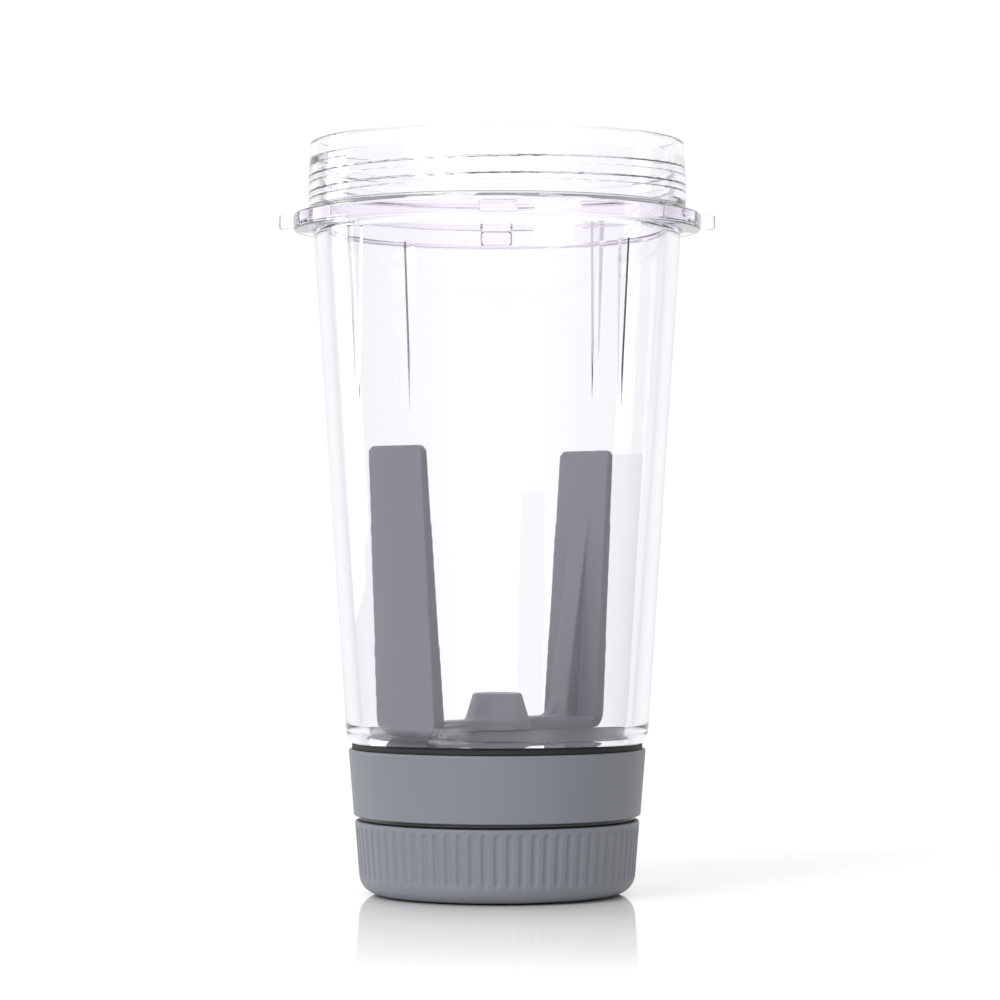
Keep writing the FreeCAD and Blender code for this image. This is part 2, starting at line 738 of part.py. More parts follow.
def paddle():
    body = new_body("paddle")
    plates = new_sketch(body, "XZ")
    for side in ("", "-"):
        add_loop(plates, [
            (f"{side}(vane_foot_face - vane_foot_thickness)", "paddle_bottom"),
            (f"{side}(vane_foot_face)", "paddle_bottom", "vane_foot_round"),
            (f"{side}(vane_top_face)", "paddle_top"),
            (f"{side}(vane_top_face - vane_top_thickness)", "paddle_top"),
        ])
    extruded(body, plates, "vane_foot_half_width * 2 + 2", midplane=True)
    frame = new_sketch(body, "YZ")
    add_loop(frame, [("-20", "20"), ("20", "20"), ("20", "120"), ("-20", "120")])
    add_loop(frame, [
        ("-vane_foot_half_width", "paddle_bottom", "vane_foot_corner"),
        ("vane_foot_half_width", "paddle_bottom", "vane_foot_corner"),
        ("vane_top_half_width", "paddle_top", "vane_top_corner"),
        ("-vane_top_half_width", "paddle_top", "vane_top_corner"),
    ])
    extruded(body, frame, "vane_top_face * 2 + 4", cut=True, midplane=True)
    rail = new_sketch(body, "XZ")
    inner = "(vane_foot_face - 1)"
    shoulder = "(vane_top_face - vane_top_thickness - 0.4)"
    add_loop(rail, [
        (f"-{inner}", "paddle_bottom", "vane_foot_round - 0.6"),
        (inner, "paddle_bottom", "vane_foot_round - 0.6"),
        (inner, "gusset_top - 20"),
        (shoulder, "gusset_top"),
        (f"{shoulder} - 1.2", "gusset_top"),
        ("gusset_foot", "rail_top", "0.6"),
        ("-gusset_foot", "rail_top", "0.6"),
        (f"-({shoulder} - 1.2)", "gusset_top"),
        (f"-{shoulder}", "gusset_top"),
        (f"-{inner}", "gusset_top - 20"),
    ])
    extruded(body, rail, "rail_width", midplane=True)
    blend = new_sketch(body, "XZ", level="-rail_width / 2")
    for side in ("", "-"):
        add_loop(blend, [
            (f"{side}(gusset_foot - gusset_blend)", "rail_top"),
            (f"{side}(gusset_foot)", "rail_top", "gusset_blend_radius"),
            (f"{side}(gusset_foot + 0.5)", "rail_top + gusset_blend_rise"),
            (f"{side}(gusset_foot + 2)", "rail_top + gusset_blend_rise"),
            (f"{side}(gusset_foot + 2)", "rail_top - 0.5"),
            (f"{side}(gusset_foot - gusset_blend)", "rail_top - 0.5"),
        ])
    extruded(body, blend, "gusset_blend_width")
    flare = new_sketch(body, "XY", level="paddle_bottom")
    flare_end = "(vane_foot_face - vane_foot_thickness + 0.5)"
    for side in ("", "-"):
        add_loop(flare, [
            (f"{side}(flare_start)", "-rail_width / 2 + 0.2"),
            (f"{side}(flare_start)", "-rail_width / 2"),
            (f"{side}{flare_end}", "-flare_reach"),
            (f"{side}{flare_end}", "-rail_width / 2 + 0.2"),
        ])
    extruded(body, flare, "flare_height")
    turned(body, [[
        ("0", "paddle_bottom"),
        ("hub_foot_radius", "paddle_bottom"),
        ("hub_foot_radius", "rail_top"),
        ("hub_top_radius", "hub_top", "0.5"),
        ("0", "hub_top"),
    ]])
    turned(body, [[
        ("0", "paddle_bottom - 1"),
        ("insert_radius", "paddle_bottom - 1"),
        ("insert_radius", "insert_top"),
        ("0", "insert_top"),
    ]], cut=True)
    body.Placement = Placement(Vector(), Rotation(Vector(0, 0, 1), 1.0))
    bind(body, "Placement.Rotation.Angle", "paddle_azimuth - 90")
    return body


def hub_insert():
    body = new_body("hub_insert")
    turned(body, [[
        ("0", "paddle_bottom"),
        ("insert_radius", "paddle_bottom"),
        ("insert_radius", "insert_top"),
        ("0", "insert_top"),
    ]])
    turned(body, [[
        ("0", "paddle_bottom - 1"),
        ("insert_bore", "paddle_bottom - 1"),
        ("insert_bore", "insert_bore_top"),
        ("0", "insert_bore_top"),
    ]], cut=True)
    socket = new_sketch(body, "XY", level="paddle_bottom")
    reach = "(hex_half_flats + shaft_fit) * 1.154701"
    add_loop(socket, [
        (reach, "0"),
        (reach + " / 2", "hex_half_flats + shaft_fit"),
        (f"-{reach} / 2", "hex_half_flats + shaft_fit"),
        (f"-{reach}", "0"),
        (f"-{reach} / 2", "-(hex_half_flats + shaft_fit)"),
        (reach + " / 2", "-(hex_half_flats + shaft_fit)"),
    ])
    extruded(body, socket, "hex_top + 0.2 - paddle_bottom", cut=True, backwards=True)
    return body


def make_all():
    cup_body()
    floor_plate()
    collar()
    collar_gasket()
    bearing_housing()
    shaft_bush()
    shaft_seal()
    glide_ring()
    collar_screw = upright_screw("collar_screw", "post_circle", "screw_head_radius",
                                 "web_bottom - screw_head_height", "web_bottom", "post_hole", "screw_end")
    screw_group("collar_screws", collar_screw, "lug_count")
    drive_shaft()
    nose_ring()
    bush_foot = "housing_foot - bush_flange_thickness"
    plain_ring("thrust_washer", "shaft_lower_radius", "clip_radius + 1.5",
               bush_foot + " - washer_gap - washer_thickness", bush_foot + " - washer_gap")
    shaft_circlip()
    knob()
    knob_deck()
    deck_screw = upright_screw("deck_screw", "deck_screw_circle", "deck_screw_head",
                               "deck_top - 1.2", "deck_top", "deck_screw_radius", "deck_screw_end")
    screw_group("deck_screws", deck_screw, "deck_screw_count")
    knob_screw()
    plain_ring("screw_washer", "bolt_radius", "bolt_washer_radius", "bolt_washer_bottom", "knob_boss_foot")
    base_cap()
    plain_ring("foot_pad", "foot_bore", "foot_radius", "0", "foot_thickness")
    paddle()
    hub_insert()


make_all()
doc.recompute()
for thing in doc.Objects:
    if "Invalid" in thing.State or "Error" in thing.State:
        raise RuntimeError(f"{thing.Name} failed: {thing.State}")
os.makedirs("parts", exist_ok=True)
for sub_part in sub_parts:
    shape = sub_part.Shape
    if shape.isNull() or not shape.isValid():
        raise RuntimeError(f"{sub_part.Label} has no valid shape")
    shape.exportStep(f"parts/{sub_part.Label}.step")
    box = shape.BoundBox
    print(f"{sub_part.Label:16s} {len(shape.Solids)} solid(s) {shape.Volume:10.1f} mm3  "
          f"z {box.ZMin:7.2f} to {box.ZMax:7.2f}  r {max(box.XMax, -box.XMin, box.YMax, -box.YMin):6.2f}")
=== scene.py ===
"""Looks for the blending cup with its twist paddle: clear cup, grey twist base, scraper paddle, studio."""

import json
import math

import bmesh
import bpy
import numpy as np
from mathutils import Matrix, Vector


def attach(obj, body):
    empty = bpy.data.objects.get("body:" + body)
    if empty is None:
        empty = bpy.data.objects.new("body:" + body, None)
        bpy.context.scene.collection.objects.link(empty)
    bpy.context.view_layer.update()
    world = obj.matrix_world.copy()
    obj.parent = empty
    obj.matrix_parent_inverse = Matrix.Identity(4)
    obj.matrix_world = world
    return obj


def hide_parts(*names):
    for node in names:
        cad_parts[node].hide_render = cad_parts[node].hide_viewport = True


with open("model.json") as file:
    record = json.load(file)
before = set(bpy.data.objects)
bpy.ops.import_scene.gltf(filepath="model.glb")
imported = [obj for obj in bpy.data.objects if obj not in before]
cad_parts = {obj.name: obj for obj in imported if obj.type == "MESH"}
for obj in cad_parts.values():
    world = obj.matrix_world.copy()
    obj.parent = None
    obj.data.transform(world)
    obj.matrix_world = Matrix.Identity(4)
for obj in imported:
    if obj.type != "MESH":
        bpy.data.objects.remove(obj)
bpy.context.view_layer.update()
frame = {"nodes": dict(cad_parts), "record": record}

MM = 0.001
ROUND = 2 * math.pi
SAME_PLACE = 1e-7
SLIP = 0.05

# ---------------------------------------------------------------- sizes, in millimetres and degrees
CUP_HEIGHT = 180.0
NECK_RADIUS = 45.35
NECK_STEP = 172.4
NECK_BORE = 42.8
NECK_SHOULDER = 164.6
RIM_BORE = 42.9
SHOULDER_BORE = 41.3
SHOULDER_CHAMFER = 0.6
BORE_TOP_RADIUS = 40.7
BORE_MID_RADIUS = 37.25
BORE_MID = 104.0
BORE_MID_BEND = 60.0
BORE_FOOT_RADIUS = 32.5
BORE_FOOT = 41.0
BORE_CORNER = 4.0
BAND_RADIUS = 45.0
BAND_BOTTOM = 176.0
RING_RADIUS = 48.9
RING_BOTTOM = 158.9
RING_EDGE = 162.7
RING_TOP = 164.0
WALL_FOOT_RADIUS = 36.0
WALL_TOP = 158.0
WALL_TOP_RADIUS = 44.05
RING_FILLET = 0.9
HEEL_LEVEL = 35.6
HEEL_CORNER = 3.4
SPIGOT_BOTTOM = 29.0
SPIGOT_RADIUS = 32.5
SPIGOT_BORE = 30.6
PLATE_RADIUS = 31.3
PLATE_SEAT = 36.2
FLOOR_TOP = 36.9
PLATE_POCKET = PLATE_RADIUS + 0.1
PLATE_EDGE = PLATE_RADIUS + 0.15
PLATE_UNDERSIDE = 33.9
BOSS_BORE = 6.0
BOSS_RADIUS = 9.0
BOSS_BOTTOM = 27.0
SEAL_RADIUS = 7.5
SEAL_SEAT = 34.4
LUG_REACH = 52.17
LUG_WIDTH = 8.7
LUG_COUNT = 4
LUG_ROOT = 46.5
LUG_BOTTOM = 159.0
LUG_TOP = 162.6
LUG_CORNER = 0.9
LUG_EDGE = 0.8
LUG_AZIMUTH = 0.3
THREAD_PITCH = 3.85
THREAD_TURNS = 2.7
THREAD_RUN_OUT = 0.2
THREAD_START = 164.8
THREAD_AZIMUTH = -27.0
THREAD_RISE = 1.2
THREAD_HALF_FOOT = 0.98
THREAD_FLANK = 0.34
THREAD_TOP = BAND_BOTTOM + 0.5
THREAD_ROW = 0.07
RIB_AZIMUTH = 35.0
RIB_COUNT = 4
RIB_THICKNESS = 1.5
RIB_TOP = 159.3
RIB_BOTTOM = 116.0
RIB_TIP_RADIUS = 37.8
RIB_ROOT = 41.6
RIB_DRAFT = 0.25
RIB_FOOT = 1.3

COLLAR_TOP = 34.9
COLLAR_BOTTOM = 19.0
COLLAR_TOP_RADIUS = 35.6
COLLAR_BOTTOM_RADIUS = 34.33
COLLAR_BORE = 33.75
COLLAR_LOWER_BORE = 32.4
LEDGE_LEVEL = 29.0
LEDGE_BORE = 32.3
WEB_TOP = 26.5
WEB_BOTTOM = 24.0
WEB_BORE = 11.0
GASKET_BOTTOM = 31.0
GASKET_SKIRT = 33.7
GASKET_RADIUS = 34.8
GASKET_LIP = 36.25
GASKET_LIP_BORE = 34.2
GASKET_UPSTAND = 37.1
GASKET_UPSTAND_RADIUS = 34.0
GLIDE_BORE = 29.0
GLIDE_RADIUS = 33.0
GLIDE_BOTTOM = 18.0
GLIDE_TOP = 22.0
SEAL_BORE = 3.79
SEAL_TOP = 36.85

KNOB_TOP = 17.8
KNOB_TOP_RADIUS = 34.1
KNOB_BOTTOM = 0.3
KNOB_FOOT_RADIUS = 32.71
KNOB_CORNER = 4.8
KNOB_STEPS = 8
KNOB_SIDE_ROWS = 46
KNOB_CORNERS_BELOW_SIDE = 6
KNOB_MOUTH = 31.7
DECK_SEAT = 15.8
KNOB_BORE = 30.7
KNOB_FLOOR = 2.6
POST_RADIUS = 7.0
POST_TOP = 19.2
POST_FLARE = 7.4
SHAFT_BORE = 3.05
SHAFT_SEAT = 6.0
SCREW_BORE = 1.7
SCREW_SEAT = 5.4
SCREW_WELL = 11.0
CAP_SEAT = 2.4
CAP_RADIUS = 15.0
FOOT_BORE = 20.0
FOOT_RADIUS = 26.5
FOOT_HEIGHT = 1.2
FOOT_SLIP = 0.1
FLUTE_COUNT = 72
FLUTE_HALF_WIDTH = 0.82
FLUTE_DEPTH = 0.38
FLUTE_BOTTOM = 4.4
FLUTE_TOP = 16.6
FLUTE_FULLNESS = 1.35
FLUTED_FROM_RADIUS = 30.5
FLUTE_SEGMENTS = 16

PADDLE_AZIMUTH = 137.0
PADDLE_BOTTOM = 37.6
PADDLE_TOP = 106.9
VANE_FOOT_FACE = 29.95
VANE_TOP_FACE = 34.3
VANE_FOOT_THICKNESS = 3.6
VANE_TOP_THICKNESS = 2.2
VANE_FOOT_HALF_WIDTH = 8.95
VANE_TOP_HALF_WIDTH = 8.2
VANE_TOP_CORNER = 1.9
VANE_FOOT_CORNER = 5.5
VANE_FOOT_ROUND = 2.8
VANE_EMBED = 0.6
RAIL_TOP = 42.0
RAIL_HALF_WIDTH = 2.9
RAIL_CORNER = 2.2
RAIL_END = VANE_FOOT_FACE - 1.2
GUSSET_TOP = 92.0
GUSSET_FOOT = 21.2
GUSSET_LEAN = 20
BLEND_RADIUS = 4.0
BLEND_REACH = 5.0
BLEND_BACK = 2
BLEND_INSIDE = 0.5
HUB_TOP = 48.1
HUB_FOOT_RADIUS = 7.9
HUB_MID_RADIUS = 7.35
HUB_TOP_RADIUS = 5.8
FLARE_START = 13.0
FLARE_REACH = 8.0
FLARE_HEIGHT = 3.8
FLARE_END = 27.2
FLARE_OVERLAP = 0.3
SKIN_VOXEL = 0.3
SKIN_SMOOTHING = 5


# ---------------------------------------------------------------- mesh helpers
def rounded(corners, steps=6):
    """A closed outline in (across, up); a third number in a corner is its rounding radius."""
    points = []
    count = len(corners)
    for i, corner in enumerate(corners):
        here = np.array(corner[:2], float)
        if len(corner) < 3:
            points.append(tuple(here))
            continue
        back = np.array(corners[i - 1][:2], float) - here
        ahead = np.array(corners[(i + 1) % count][:2], float) - here
        back /= np.linalg.norm(back)
        ahead /= np.linalg.norm(ahead)
        half = math.acos(max(-1.0, min(1.0, float(back @ ahead)))) / 2
        middle = (back + ahead) / np.linalg.norm(back + ahead)
        centre = here + middle * corner[2] / math.sin(half)
        first = here + back * corner[2] / math.tan(half) - centre
        last = here + ahead * corner[2] / math.tan(half) - centre
        start = math.atan2(first[1], first[0])
        sweep = (math.atan2(last[1], last[0]) - start + math.pi) % ROUND - math.pi
        for k in range(steps + 1):
            angle = start + sweep * k / steps
            points.append((centre[0] + corner[2] * math.cos(angle), centre[1] + corner[2] * math.sin(angle)))
    return points


def cleaned(mesh):
    """Merges doubled points and turns the faces outward."""
    work = bmesh.new()
    work.from_mesh(mesh)
    bmesh.ops.remove_doubles(work, verts=work.verts, dist=SAME_PLACE)
    bmesh.ops.recalc_face_normals(work, faces=work.faces)
    work.to_mesh(mesh)
    work.free()
    return mesh


def finished(name, mesh, sharp=32.0):
    """Links a mesh as an object, faces outward, smooth except along edges sharper than the angle."""
    cleaned(mesh)
    mesh.shade_smooth()
    mesh.set_sharp_from_angle(angle=math.radians(sharp))
    piece = bpy.data.objects.new(name, mesh)
    bpy.context.scene.collection.objects.link(piece)
    return piece


def held(outline, margin=0.12):
    """The outline with an extra point near each end of every long side, so that flat sides shade flat."""
    points = []
    for i, here in enumerate(outline):
        here, ahead = np.array(here), np.array(outline[(i + 1) % len(outline)])
        points.append(tuple(here))
        length = np.linalg.norm(ahead - here)
        if length > 10 * margin:
            step = (ahead - here) * margin / length
            points += [tuple(here + step), tuple(ahead - step)]
    return points


def lathed_mesh(name, outline, segments=192, shift=None):
    """A closed outline of (radius, height) turned about Z; shift(angle, r, z) moves the radius."""
    outline = held(outline)
    r = np.array([p[0] for p in outline])
    z = np.array([p[1] for p in outline])
    angles = np.arange(segments) * ROUND / segments
    radius = np.broadcast_to(r, (segments, len(r))).copy()
    if shift is not None:
        radius += shift(angles[:, None], r[None, :], z[None, :])
    co = np.empty((segments, len(r), 3))
    co[:, :, 0] = radius * np.cos(angles)[:, None]
    co[:, :, 1] = radius * np.sin(angles)[:, None]
    co[:, :, 2] = z[None, :]
    rows = len(r)
    faces = []
    for i in range(segments):
        j = (i + 1) % segments
        for k in range(rows):
            m = (k + 1) % rows
            if max(r[k], r[m]) < SAME_PLACE:
                continue
            faces.append((i * rows + k, j * rows + k, j * rows + m, i * rows + m))
    mesh = bpy.data.meshes.new(name)
    mesh.from_pydata((co.reshape(-1, 3) * MM).tolist(), [], faces)
    return mesh


def lathed(name, outline, segments=192, shift=None, sharp=32.0):
    return finished(name, lathed_mesh(name, outline, segments, shift), sharp)


def level(across, up, along):
    """An outline drawn in plan."""
    return (across, up, along)


def upright(across, up, along):
    """An outline drawn from the side."""
    return (across, along, up)


def prism_mesh(name, outline, place, low, high):
    """An outline extruded from low to high; place(across, up, along) gives each point in millimetres."""
    count = len(outline)
    points = [place(across, up, along) for along in (low, high) for across, up in outline]
    faces = [tuple(range(count)), tuple(range(2 * count - 1, count - 1, -1))]
    faces += [(i, (i + 1) % count, (i + 1) % count + count, i + count) for i in range(count)]
    mesh = bpy.data.meshes.new(name)
    mesh.from_pydata([tuple(c * MM for c in point) for point in points], [], faces)
    return mesh


def applied(piece, name):
    """The piece's mesh with its modifiers applied, as a new mesh."""
    depsgraph = bpy.context.evaluated_depsgraph_get()
    mesh = bpy.data.meshes.new_from_object(piece.evaluated_get(depsgraph), depsgraph=depsgraph)
    mesh.name = name
    bpy.data.objects.remove(piece)
    return mesh


def joined_by(piece, tools, operation):
    """The piece with each tool joined to it or cut from it."""
    for tool in tools:
        change = piece.modifiers.new("change", "BOOLEAN")
        change.operation = operation
        change.solver = "EXACT"
        change.object = tool
    name = piece.name
    mesh = applied(piece, name)
    for tool in tools:
        bpy.data.objects.remove(tool)
    return finished(name, mesh)


def turned_about_z(piece, degrees):
    piece.data.transform(Matrix.Rotation(math.radians(degrees), 4, "Z"))
    return piece


# ---------------------------------------------------------------- materials
def new_material(name):
    material = bpy.data.materials.new(name)
    material.use_nodes = True
    nodes = material.node_tree.nodes
    return material, nodes, material.node_tree.links, nodes["Principled BSDF"]


def moulded(name, color, roughness, spread, grain_size, grain_depth, specular=0.5):
    """Moulded plastic or rubber: slight mottling of tone and gloss, and a fine spark-eroded grain."""
    material, nodes, links, shader = new_material(name)
    place = nodes.new("ShaderNodeTexCoord")
    mottle = nodes.new("ShaderNodeTexNoise")
    mottle.inputs["Scale"].default_value = 60.0
    mottle.inputs["Detail"].default_value = 3.0
    links.new(place.outputs["Object"], mottle.inputs["Vector"])
    tone = nodes.new("ShaderNodeMix")
    tone.data_type = "RGBA"
    tone.inputs["A"].default_value = tuple(c * (1 - spread) for c in color) + (1,)
    tone.inputs["B"].default_value = tuple(c * (1 + spread) for c in color) + (1,)
    links.new(mottle.outputs["Fac"], tone.inputs["Factor"])
    links.new(tone.outputs["Result"], shader.inputs["Base Color"])
    gloss = nodes.new("ShaderNodeMapRange")
    gloss.inputs["To Min"].default_value = roughness - 0.05
    gloss.inputs["To Max"].default_value = roughness + 0.05
    links.new(mottle.outputs["Fac"], gloss.inputs["Value"])
    links.new(gloss.outputs["Result"], shader.inputs["Roughness"])
    grain = nodes.new("ShaderNodeTexNoise")
    grain.inputs["Scale"].default_value = 1.0 / (grain_size * MM)
    grain.inputs["Detail"].default_value = 2.0
    links.new(place.outputs["Object"], grain.inputs["Vector"])
    bump = nodes.new("ShaderNodeBump")
    bump.inputs["Strength"].default_value = 1.0
    bump.inputs["Distance"].default_value = grain_depth * MM
    links.new(grain.outputs["Fac"], bump.inputs["Height"])
    links.new(bump.outputs["Normal"], shader.inputs["Normal"])
    shader.inputs["Specular IOR Level"].default_value = specular
    return material


def clear_plastic():
    """Water-clear plastic: polished, with a violet tint that shows only through its thick sections."""
    material, nodes, links, shader = new_material("clear_plastic")
    shader.inputs["Base Color"].default_value = (1.0, 1.0, 1.0, 1.0)
    shader.inputs["Transmission Weight"].default_value = 1.0
    shader.inputs["IOR"].default_value = 1.52
    place = nodes.new("ShaderNodeTexCoord")
    haze = nodes.new("ShaderNodeTexNoise")
    haze.inputs["Scale"].default_value = 45.0
    haze.inputs["Detail"].default_value = 4.0
    links.new(place.outputs["Object"], haze.inputs["Vector"])
    gloss = nodes.new("ShaderNodeMapRange")
    gloss.inputs["To Min"].default_value = 0.0
    gloss.inputs["To Max"].default_value = 0.03
    links.new(haze.outputs["Fac"], gloss.inputs["Value"])
    links.new(gloss.outputs["Result"], shader.inputs["Roughness"])
    tint = nodes.new("ShaderNodeVolumeAbsorption")
    tint.inputs["Color"].default_value = (0.74, 0.62, 0.93, 1.0)
    tint.inputs["Density"].default_value = 20.0
    links.new(tint.outputs["Volume"], nodes["Material Output"].inputs["Volume"])
    return material


def brushed(name, color, roughness):
    """Turned steel: fine circular tool marks about the upright."""
    material, nodes, links, shader = new_material(name)
    place = nodes.new("ShaderNodeTexCoord")
    squash = nodes.new("ShaderNodeMapping")
    squash.inputs["Scale"].default_value = (300.0, 300.0, 9000.0)
    links.new(place.outputs["Object"], squash.inputs["Vector"])
    marks = nodes.new("ShaderNodeTexNoise")
    marks.inputs["Scale"].default_value = 1.0
    marks.inputs["Detail"].default_value = 3.0
    links.new(squash.outputs["Vector"], marks.inputs["Vector"])
    gloss = nodes.new("ShaderNodeMapRange")
    gloss.inputs["To Min"].default_value = roughness - 0.08
    gloss.inputs["To Max"].default_value = roughness + 0.12
    links.new(marks.outputs["Fac"], gloss.inputs["Value"])
    links.new(gloss.outputs["Result"], shader.inputs["Roughness"])
    bump = nodes.new("ShaderNodeBump")
    bump.inputs["Distance"].default_value = 0.004 * MM
    links.new(marks.outputs["Fac"], bump.inputs["Height"])
    links.new(bump.outputs["Normal"], shader.inputs["Normal"])
    shader.inputs["Base Color"].default_value = color + (1.0,)
    shader.inputs["Metallic"].default_value = 1.0
    return material


FINE_GRAIN = {"spread": 0.015, "grain_size": 0.25, "grain_depth": 0.0012, "specular": 0.4}
SLOT_MATERIALS = {
    "grey_plastic": moulded("grey_plastic", (0.160, 0.171, 0.191), 0.48, **FINE_GRAIN),
    "black_plastic": moulded("black_plastic", (0.018, 0.018, 0.020), 0.38, 0.06, 0.2, 0.01),
    "black_rubber": moulded("black_rubber", (0.016, 0.016, 0.017), 0.62, 0.08, 0.35, 0.03, 0.3),
    "clear_plastic": clear_plastic(),
    "steel": brushed("steel", (0.62, 0.62, 0.63), 0.28),
    "dark_steel": brushed("dark_steel", (0.16, 0.16, 0.165), 0.34),
}
# A lighter grey, because the clear wall keeps some of the light off the paddle.
PADDLE_PLASTIC = moulded("paddle_plastic", (0.258, 0.274, 0.306), 0.45, **FINE_GRAIN)


def place_piece(piece, body, slot, replaced, material=None):
    """Gives a piece its material and its body, and hides the CAD node that it stands for."""
    piece.data.materials.clear()
    piece.data.materials.append(material or SLOT_MATERIALS[slot])
    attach(piece, body)
    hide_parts(replaced)
    return piece


# ---------------------------------------------------------------- the clear cup
def thread_shift(angles, r, z):
    """How far the single-start ridge stands in from the mouth's bore."""
    turn = (angles - math.radians(THREAD_AZIMUTH)) / ROUND
    nearest = np.round((z - THREAD_START) / THREAD_PITCH - turn)
    along = nearest + turn
    along = np.where(along > THREAD_TURNS, along - 1, along)
    along = np.where(along < 0, along + 1, along)
    away = np.abs(z - THREAD_START - THREAD_PITCH * along)
    ridge = np.clip((THREAD_HALF_FOOT - away) / THREAD_FLANK, 0.0, 1.0)
    ends = np.clip(along / THREAD_RUN_OUT, 0, 1)
    ends = ends * np.clip((THREAD_TURNS - along) / THREAD_RUN_OUT, 0, 1)
    in_bore = (abs(r - NECK_BORE) < 0.01) & (z > NECK_SHOULDER) & (z < THREAD_TOP)
    return np.where(in_bore, -THREAD_RISE * ridge * ends, 0.0)


def cup():
    """The wall, ring and neck in one turn, with the lugs and the inside ribs joined to it."""
    rows_start = (NECK_BORE, BAND_BOTTOM + 0.6)
    outside = rounded([
        (SPIGOT_BORE, SPIGOT_BOTTOM, 0.2),
        (SPIGOT_RADIUS, SPIGOT_BOTTOM, 0.2),
        (SPIGOT_RADIUS, HEEL_LEVEL, 0.2),
        (WALL_FOOT_RADIUS, HEEL_LEVEL, HEEL_CORNER),
        (WALL_TOP_RADIUS, WALL_TOP, 0.6),
        (WALL_TOP_RADIUS + RING_FILLET, RING_BOTTOM, 0.7),
        (RING_RADIUS, RING_BOTTOM, 0.5),
        (RING_RADIUS, RING_EDGE, 0.7),
        (NECK_RADIUS, RING_TOP, 0.3),
        (NECK_RADIUS, NECK_STEP, 2.0),
        (BAND_RADIUS, BAND_BOTTOM, 2.0),
        (BAND_RADIUS, CUP_HEIGHT, 0.8),
        (RIM_BORE, CUP_HEIGHT, 0.8),
        rows_start,
        (NECK_BORE, NECK_SHOULDER, 0.1),
        (SHOULDER_BORE, NECK_SHOULDER - SHOULDER_CHAMFER, 0.5),
        (BORE_TOP_RADIUS, RING_BOTTOM, 1.0),
        (BORE_MID_RADIUS, BORE_MID, BORE_MID_BEND),
        (BORE_FOOT_RADIUS, BORE_FOOT, BORE_CORNER),
        (PLATE_POCKET, FLOOR_TOP),
        (PLATE_POCKET, PLATE_SEAT),
        (SPIGOT_BORE, PLATE_SEAT, 0.1),
    ])
    split = outside.index(rows_start) + 1
    rows = [(NECK_BORE, z) for z in np.arange(THREAD_TOP, NECK_SHOULDER + 0.15, -THREAD_ROW)]
    shell = lathed("cup_clear", outside[:split] + rows + outside[split:], segments=320, shift=thread_shift)
    extras = []
    for i in range(LUG_COUNT):
        lug = rounded([
            (LUG_ROOT, -LUG_WIDTH / 2),
            (LUG_REACH, -LUG_WIDTH / 2, LUG_CORNER),
            (LUG_REACH, LUG_WIDTH / 2, LUG_CORNER),
            (LUG_ROOT, LUG_WIDTH / 2),
        ], 4)
        mesh = prism_mesh("lug", lug, level, LUG_BOTTOM, LUG_TOP)
        piece = finished("lug", mesh)
        edge = piece.modifiers.new("edge", "BEVEL")
        edge.width = LUG_EDGE * MM
        edge.segments = 3
        edge.limit_method = "ANGLE"
        piece = finished("lug", applied(piece, "lug"))
        extras.append(turned_about_z(piece, i * 360 / LUG_COUNT + LUG_AZIMUTH))
    for i in range(RIB_COUNT):
        rib = rounded([
            (RIB_ROOT, RIB_TOP),
            (RIB_TIP_RADIUS, RIB_TOP, 0.7),
            (RIB_TIP_RADIUS + RIB_DRAFT, RIB_BOTTOM),
            (RIB_TIP_RADIUS + RIB_FOOT, RIB_BOTTOM),
        ], 5)
        mesh = prism_mesh("rib", rib, upright, -RIB_THICKNESS / 2, RIB_THICKNESS / 2)
        extras.append(turned_about_z(finished("rib", mesh), RIB_AZIMUTH - 90 + i * 360 / RIB_COUNT))
    return joined_by(shell, extras, "UNION")


def floor_plate():
    """The grey disc that closes the cup; its edge touches the clear wall, so that it shows through it."""
    return lathed("floor_disc", rounded([
        (BOSS_BORE, BOSS_BOTTOM, 0.2),
        (BOSS_RADIUS, BOSS_BOTTOM, 0.3),
        (BOSS_RADIUS, PLATE_UNDERSIDE, 0.4),
        (SPIGOT_BORE - SLIP, PLATE_UNDERSIDE, 0.2),
        (SPIGOT_BORE - SLIP, PLATE_SEAT, 0.1),
        (PLATE_EDGE, PLATE_SEAT, 0.1),
        (PLATE_EDGE, FLOOR_TOP, 0.2),
        (SEAL_RADIUS, FLOOR_TOP, 0.2),
        (SEAL_RADIUS, SEAL_SEAT, 0.1),
        (BOSS_BORE, SEAL_SEAT, 0.1),
    ]), segments=192)


# ---------------------------------------------------------------- the twist base
def collar():
    return lathed("collar_ring", rounded([
        (COLLAR_BOTTOM_RADIUS, COLLAR_BOTTOM, 0.4),
        (COLLAR_TOP_RADIUS, COLLAR_TOP, 0.5),
        (COLLAR_BORE, COLLAR_TOP, 0.45),
        (COLLAR_BORE, LEDGE_LEVEL, 0.1),
        (LEDGE_BORE, LEDGE_LEVEL, 0.1),
        (LEDGE_BORE, WEB_TOP, 0.1),
        (WEB_BORE, WEB_TOP, 0.2),
        (WEB_BORE, WEB_BOTTOM, 0.2),
        (COLLAR_LOWER_BORE, WEB_BOTTOM, 0.2),
        (COLLAR_LOWER_BORE, COLLAR_BOTTOM, 0.2),
    ]), segments=256)


